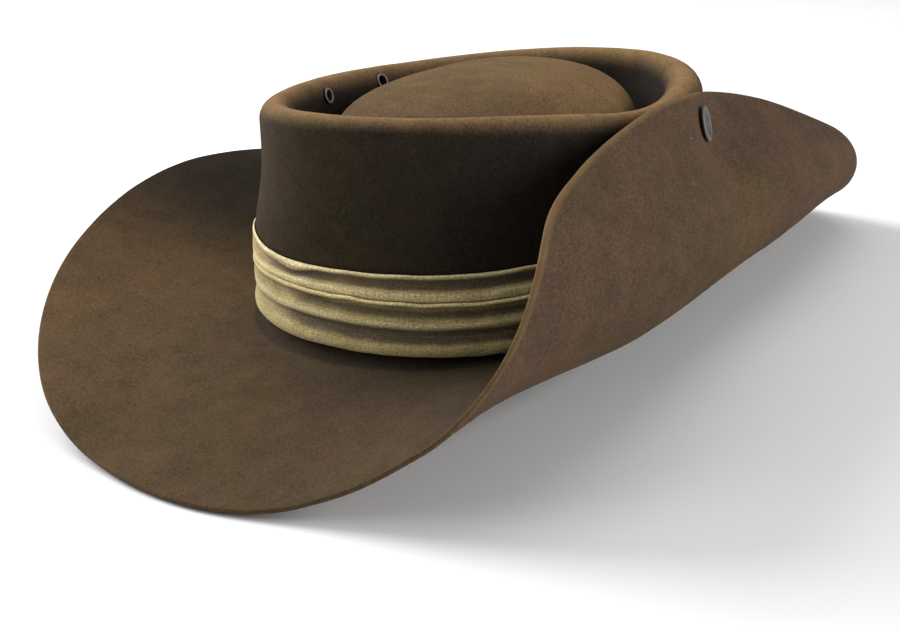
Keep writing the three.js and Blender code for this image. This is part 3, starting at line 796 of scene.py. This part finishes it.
# %% Eyelet meshes
EYELET_OUTER, EYELET_BORE, EYELET_FLANGE = 3.3, 2.2, 0.7
EYELET_SIDES, ROLL_STEPS = 48, 10
front, back = FELT / 2 + FIT, -FELT / 2 - EYELET_BACK
roll_middle, roll_half = (EYELET_OUTER + EYELET_BORE) / 2, (EYELET_OUTER - EYELET_BORE) / 2
eyelet_profile = []
for turn in np.linspace(math.pi, 0, ROLL_STEPS + 1):
    eyelet_profile.append((roll_middle + roll_half * math.cos(turn), front + EYELET_FLANGE * math.sin(turn)))
eyelet_profile += [(EYELET_BARREL + 0.1, front), (EYELET_BARREL, front - 0.1)]
eyelet_profile += [(EYELET_BARREL, back + 0.1), (EYELET_BARREL + 0.1, back)]
for turn in np.linspace(0, math.pi, ROLL_STEPS + 1):
    eyelet_profile.append((roll_middle + roll_half * math.cos(turn), back - EYELET_FLANGE * math.sin(turn)))
# Pale ring on the front roll's crest: bare metal and a painted highlight.
on_roll = np.zeros(len(eyelet_profile))
on_roll[:ROLL_STEPS + 1] = np.sin(np.linspace(0, math.pi, ROLL_STEPS + 1)) ** 3
rubbed_and_highlit = np.repeat(on_roll[:, None], EYELET_SIDES, axis=1)
eyelets = []
for number, (place, direction) in enumerate(eyelet_poses, 1):
    rings = lathe(eyelet_profile, place, direction, EYELET_SIDES)
    eyelet = ring_object(f"vent_eyelet_{number}", rings, closed=True, attributes={"rubbed_and_highlit": rubbed_and_highlit})
    eyelets.append(eyelet)
print("eyelets", len(eyelets), "of", len(eyelets[0].data.polygons), "faces")

# %% [markdown]
# ## Writing shaders as sums
#
# A material is a graph of nodes, and adding each node and link by hand soon hides the idea. Here a
# small class wraps one output socket, so a sum such as `1 - mask * 0.3` adds its own Math nodes. One
# method adds any other node: its settings first, then the values or links of its sockets.

# %% A socket that can be summed
class Strand:
    def __init__(self, finish, socket):
        self.finish, self.socket = finish, socket

    def sum_with(self, operation, first, second):
        return self.finish.node("Math", {"operation": operation}, {0: first, 1: second})

    def __add__(self, other):
        return self.sum_with("ADD", self, other)

    def __radd__(self, other):
        return self.sum_with("ADD", other, self)

    def __sub__(self, other):
        return self.sum_with("SUBTRACT", self, other)

    def __rsub__(self, other):
        return self.sum_with("SUBTRACT", other, self)

    def __mul__(self, other):
        return self.sum_with("MULTIPLY", self, other)

    def __rmul__(self, other):
        return self.sum_with("MULTIPLY", other, self)

    def __gt__(self, other):
        return self.sum_with("GREATER_THAN", self, other)


class Finish:
    """A material with one Principled shader, and one method that adds any other node."""

    def __init__(self, name):
        self.material = bpy.data.materials.new(name)
        self.material.use_nodes = True
        self.tree = self.material.node_tree
        self.shader = self.tree.nodes["Principled BSDF"]

    def feed(self, socket, value):
        if isinstance(value, Strand):
            self.tree.links.new(value.socket, socket)
        else:
            socket.default_value = value

    def node(self, kind, settings=None, sockets=None, output=0):
        made = self.tree.nodes.new("ShaderNode" + kind)
        for key, value in (settings or {}).items():
            setattr(made, key, value)
        for key, value in (sockets or {}).items():
            self.feed(made.inputs[key], value)
        return Strand(self, made.outputs[output])

    def set(self, **sockets):
        for key, value in sockets.items():
            self.feed(self.shader.inputs[key.replace("_", " ")], value)

    def noise(self, where, scale, detail=3.0, roughness=0.55):
        sockets = {"Vector": where, "Scale": scale, "Detail": detail, "Roughness": roughness}
        return self.node("TexNoise", {}, sockets)

    def between(self, low, high, value):
        """0 below low, 1 above high, a soft step between."""
        sockets = {"Value": value, "From Min": low, "From Max": high}
        return self.node("MapRange", {"interpolation_type": "SMOOTHSTEP"}, sockets)

    def blend(self, mask, under, over, mode="MIX"):
        """Colours mixed by a mask; sockets 6 and 7 are the Mix node's two colours."""
        settings = {"data_type": "RGBA", "blend_type": mode}
        return self.node("Mix", settings, {0: mask, 6: under, 7: over}, output=2)

    def bump(self, height, distance, strength=1.0):
        sockets = {"Height": height, "Distance": distance, "Strength": strength}
        return self.node("Bump", {}, sockets)


def colour(red, green, blue):
    return (red, green, blue, 1.0)


# %% [markdown]
# ## Felt
#
# Wool felt is a mat of fine fibres with a short nap. From a step away it is almost one colour. Its brown
# runs from a dark end, mostly painted shade on the wall and in the gutter, to a pale end on the tip and
# the top of the rim, which is partly sun bleaching and partly painted light; the brim lies between.
# One attribute carries that. Noise of several sizes shades it, from broad stains to the grain of the
# fibres, and tints it a little towards mauve and olive. The cut edge is tan, partly rubbed where hands
# take hold of it and partly a painted highlight where it faces the light, and a few specks of lint lie
# on the nap.

# %% Felt finish
wool = Finish("brown_wool_felt")
place = wool.node("TexCoord", {}, {}, output="Object")
stains = wool.noise(place, 13, 2.0)
patches = wool.noise(place, 38, 3.0)
mottle = wool.noise(place, 110, 3.0)
grain = wool.noise(place, 950, 3.0, 0.7)
fibres = wool.noise(wool.node("Mapping", {}, {"Vector": place, "Scale": (2600, 700, 1100)}), 1.0, 2.0)
fade_and_painted_light = wool.node("Attribute", {"attribute_name": "fade_and_painted_light"}, {}, output="Fac")
below = wool.node("Attribute", {"attribute_name": "under"}, {}, output="Fac")
worn_and_lit_edge = wool.node("Attribute", {"attribute_name": "worn_and_lit"}, {}, output="Fac")
# Painted light and shade: the dark end stands for shade on the wall and in the gutter, the pale end for
# bleaching and light on the tip and rim.
brown = wool.blend(fade_and_painted_light, colour(0.021, 0.0182, 0.0146), colour(0.225, 0.142, 0.065))
brown = wool.blend(below, brown, colour(0.076, 0.0496, 0.0312))
mauve = wool.blend(1.0, brown, colour(1.04, 0.97, 1.01), "MULTIPLY")
brown = wool.blend(wool.between(0.38, 0.64, patches), brown, mauve)
olive = wool.blend(1.0, brown, colour(0.98, 1.02, 0.85), "MULTIPLY")
brown = wool.blend(wool.between(0.5, 0.7, stains), brown, olive)
shade = 1 + 0.4 * (stains - 0.5) + 0.4 * (patches - 0.5) + 0.6 * (mottle - 0.5)
shade = shade + 1.6 * (grain - 0.5) + 0.6 * (fibres - 0.5)
brown = wool.blend(1.0, brown, shade, "MULTIPLY")
# Tan cut edge: rubbed felt, and a painted highlight where the cut faces the light.
edge_mask = wool.between(0.2, 0.9, worn_and_lit_edge + 0.35 * (grain - 0.5)) * (0.75 + 0.5 * (mottle - 0.5))
brown = wool.blend(edge_mask, brown, colour(0.185, 0.116, 0.052))
cells = wool.node("TexVoronoi", {"feature": "F1"}, {"Vector": place, "Scale": 120.0}, output="Distance")
chance = wool.node("TexVoronoi", {"feature": "F1"}, {"Vector": place, "Scale": 120.0}, output="Color")
pick = wool.node("SeparateColor", {}, {"Color": chance}, output="Red")
lint = (pick > 0.93) * (1 - wool.between(0.028, 0.05, cells))
brown = wool.blend(lint * 0.6, brown, colour(0.50, 0.46, 0.40))
nap = grain * 0.7 + fibres * 0.3 + mottle * 0.1
wool.set(Base_Color=brown, Roughness=0.86 + 0.1 * grain, Normal=wool.bump(nap, 0.0006, 0.5))
wool.set(Sheen_Weight=0.05, Sheen_Roughness=0.4, Sheen_Tint=colour(0.8, 0.52, 0.27), Specular_IOR_Level=0.05)
felt.data.materials.clear()
felt.data.materials.append(wool.material)
print("felt finish", len(wool.tree.nodes), "nodes")

# %% [markdown]
# ## Khaki cloth
#
# The band is plain-weave cotton: threads go over and under each other both ways. Two waves along the
# thread directions make the weave, pushed about by noise so that no thread runs true, and stretched
# noise makes some threads thicker or paler. The crests of the folds are painted pale, mostly as a
# highlight where light falls on them and partly as fading, and the hollows are painted dark, mostly as
# shade and partly as dirt. The hollows are darkest towards the turned-up side, where the flap shades them.

# %% Cloth finish
THREAD = 0.00055
cotton = Finish("faded_khaki_cotton")
map_uv = cotton.node("UVMap", {"uv_map": "threads"}, {})
u = cotton.node("SeparateXYZ", {}, {"Vector": map_uv}, output="X")
v = cotton.node("SeparateXYZ", {}, {"Vector": map_uv}, output="Y")


def thread_noise(along, across, detail=2.0, roughness=0.55):
    """Noise stretched by the threads' two directions, in waves per metre."""
    stretched = cotton.node("Mapping", {}, {"Vector": map_uv, "Scale": (along, across, 1)})
    return cotton.noise(stretched, 1.0, detail, roughness)


stray = thread_noise(700, 500) * 9
speckle = thread_noise(1000, 1500, 3.0, 0.7)
warp = cotton.node("Math", {"operation": "SINE"}, {0: u * (2 * math.pi / THREAD) + stray})
weft = cotton.node("Math", {"operation": "SINE"}, {0: v * (2 * math.pi / THREAD) + stray * 0.7})
weave = 0.5 + 0.25 * warp + 0.25 * weft
slub_along = thread_noise(120, 1500)
slub_across = thread_noise(1500, 200)
dirt_and_shade_noise = cotton.noise(cotton.node("TexCoord", {}, {}, output="Object"), 60, 4.0, 0.6)
# Painted shade in the hollows, with a little dirt, and a painted highlight on the crests.
crest_lights = cotton.node("Attribute", {"attribute_name": "crest_light"}, {}, output="Fac")
hollow_shade_and_dirt = cotton.between(0.0, 0.5, crest_lights + 0.5 * (dirt_and_shade_noise - 0.5))
khaki = cotton.blend(hollow_shade_and_dirt, colour(0.110, 0.080, 0.049), colour(0.51, 0.400, 0.162))
khaki = cotton.blend(cotton.between(0.5, 1.0, crest_lights), khaki, colour(0.98, 0.82, 0.45))
khaki = cotton.blend((1 - weave) * 0.35, khaki, colour(0.27, 0.21, 0.10))
worn_weave = 1 + 2.2 * (speckle - 0.5) + 0.7 * (slub_along - 0.5) + 0.6 * (slub_across - 0.5)
khaki = cotton.blend(1.0, khaki, worn_weave, "MULTIPLY")
relief = weave * 0.6 + slub_along * 0.5 + slub_across * 0.3
cotton.set(Base_Color=khaki, Roughness=0.86 + 0.1 * dirt_and_shade_noise, Normal=cotton.bump(relief, 0.00035, 0.5))
cotton.set(Sheen_Weight=0.15, Sheen_Roughness=0.5, Specular_IOR_Level=0.2)
band.data.materials.append(cotton.material)
print("cloth finish", len(cotton.tree.nodes), "nodes")

# %% [markdown]
# ## Dull metal
#
# The stud has gone a dull grey, and its lip is paler than its dish: partly rubbed metal, partly a painted
# highlight. The eyelets have oxidised nearly black, with a thin pale ring where each roll stands highest,
# again partly bare metal and partly a painted highlight. One attribute marks those places. One function
# makes both, with the colours and the amount of polish as arguments.

# %% Metal finishes
def old_metal(name, bright, dark, bare_and_highlit, shine, metallic):
    metal = Finish(name)
    where = metal.node("TexCoord", {}, {}, output="Object")
    stain = metal.noise(where, 420, 4.0, 0.65)
    scratch = metal.noise(metal.node("Mapping", {}, {"Vector": where, "Scale": (300, 4000, 900)}), 1.0, 2.0)
    mix = metal.between(0.36, 0.66, stain)
    rubbed_and_highlit = metal.node("Attribute", {"attribute_name": "rubbed_and_highlit"}, {}, output="Fac")
    tone = metal.blend(mix, dark, bright)
    # Paler where marked: bare metal and a painted highlight.
    tone = metal.blend(rubbed_and_highlit * (0.5 + 0.8 * (stain - 0.4)), tone, bare_and_highlit)
    metal.set(Base_Color=tone, Metallic=metallic + 0.3 * mix, Roughness=shine + 0.25 * stain)
    metal.set(Normal=metal.bump(stain * 0.7 + scratch * 0.3, 0.00012, 0.6))
    return metal.material


dull, pit, bare_and_highlit = colour(0.115, 0.113, 0.110), colour(0.064, 0.061, 0.058), colour(0.185, 0.18, 0.172)
grey = old_metal("dull_grey_metal", dull, pit, bare_and_highlit, 0.45, 0.5)
stud.data.materials.append(grey)
brown_black, black, bare_and_highlit = colour(0.09, 0.077, 0.070), colour(0.045, 0.038, 0.034), colour(0.36, 0.33, 0.31)
oxide = old_metal("oxidised_eyelet_metal", brown_black, black, bare_and_highlit, 0.4, 0.15)
for eyelet in eyelets:
    eyelet.data.materials.append(oxide)
print("metal finishes", grey.name, "and", oxide.name)

# %% [markdown]
# ## Tie the pieces to the solids
#
# Each visible piece rides on the hat's one body and stands in for its plain solid, which is hidden. The
# list also holds a finish slot name for each piece, which the loop does not use.

# %% Rides on the body
stands_for = [(felt, "felt_body", "felt"), (band, "pleated_band", "band_cloth")]
stands_for += [(stud, "press_stud", "stud_metal")]
stands_for += [(e, f"eyelet_{n}", "eyelet_metal") for n, e in enumerate(eyelets, 1)]
for piece, node, slot in stands_for:
    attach(piece, "root")
    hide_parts(node)
print("pieces", len(stands_for))

# %% [markdown]
# ## Floor, light and camera
#
# The hat stands on a pale floor. A wide soft light on the wearer's right does most of the work, as a
# window would. A low one on the other side lights the turned-up brim, and weak ones from above and in
# front open the shadows. The camera looks from the picture's angle: its place was worked out from the
# ovals of the head and the rim.

# %% Floor
FLOOR_HALF = 8.0
FLOOR_DROP = 0.0002
floor_mesh = bpy.data.meshes.new("floor")
corners = [(x * FLOOR_HALF, y * FLOOR_HALF, -FLOOR_DROP) for x, y in ((-1, -1), (1, -1), (1, 1), (-1, 1))]
floor_mesh.from_pydata(corners, [], [(0, 1, 2, 3)])
floor = bpy.data.objects.new("floor", floor_mesh)
bpy.context.collection.objects.link(floor)
paper = Finish("pale_paper")
grain = paper.noise(paper.node("TexCoord", {}, {}, output="Object"), 30, 2.0)
paper.set(Base_Color=paper.blend(grain, colour(0.92, 0.92, 0.93), colour(0.94, 0.94, 0.94)), Roughness=0.9)
floor_mesh.materials.append(paper.material)
print("floor", 2 * FLOOR_HALF, "m wide")

# %% Light
HAT_MIDDLE = Vector((0.02, 0.0, 0.06))
SKY = 0.17
scene = bpy.context.scene
scene.view_settings.view_transform = "Standard"
world = bpy.data.worlds.new("studio")
world.use_nodes = True
world.node_tree.nodes["Background"].inputs["Color"].default_value = colour(0.95, 0.97, 1.0)
world.node_tree.nodes["Background"].inputs["Strength"].default_value = SKY
scene.world = world


def soft_light(name, place, size, watts):
    lamp = bpy.data.lights.new(name, "AREA")
    lamp.shape, lamp.size, lamp.energy = "DISK", size, watts
    light = bpy.data.objects.new(name, lamp)
    light.location = place
    light.rotation_euler = (HAT_MIDDLE - Vector(place)).to_track_quat("-Z", "Y").to_euler()
    bpy.context.collection.objects.link(light)


soft_light("overhead", (0.0, 0.5, 1.8), 1.6, 8)
soft_light("window_left", (-1.5, 0.05, 0.95), 1.4, 44)
soft_light("low_right", (1.4, 0.25, 0.5), 0.8, 16)
soft_light("front_fill", (-0.9, -1.1, 1.1), 1.2, 7)
print("lights", len(bpy.data.lights))

# %% Camera
LENS, SENSOR = 54.76, 36.0
EYE = Vector((0.289, -0.4624, 0.1794))
RIGHT, UP, BACK = (0.8378, 0.5404, -0.0776), (-0.1235, 0.3259, 0.9373), (0.5318, -0.7757, 0.3398)
lens = bpy.data.cameras.new("camera")
lens.lens, lens.sensor_width, lens.sensor_fit = LENS, SENSOR, "HORIZONTAL"
lens.clip_start, lens.clip_end = 0.01, 50
camera = bpy.data.objects.new("camera", lens)
axes = Matrix((RIGHT, UP, BACK)).transposed().to_4x4()
camera.matrix_world = Matrix.Translation(EYE + Vector(crown_axis) * MM) @ axes
bpy.context.collection.objects.link(camera)
scene.camera = camera
print("camera at", [round(x, 3) for x in camera.location], "m")
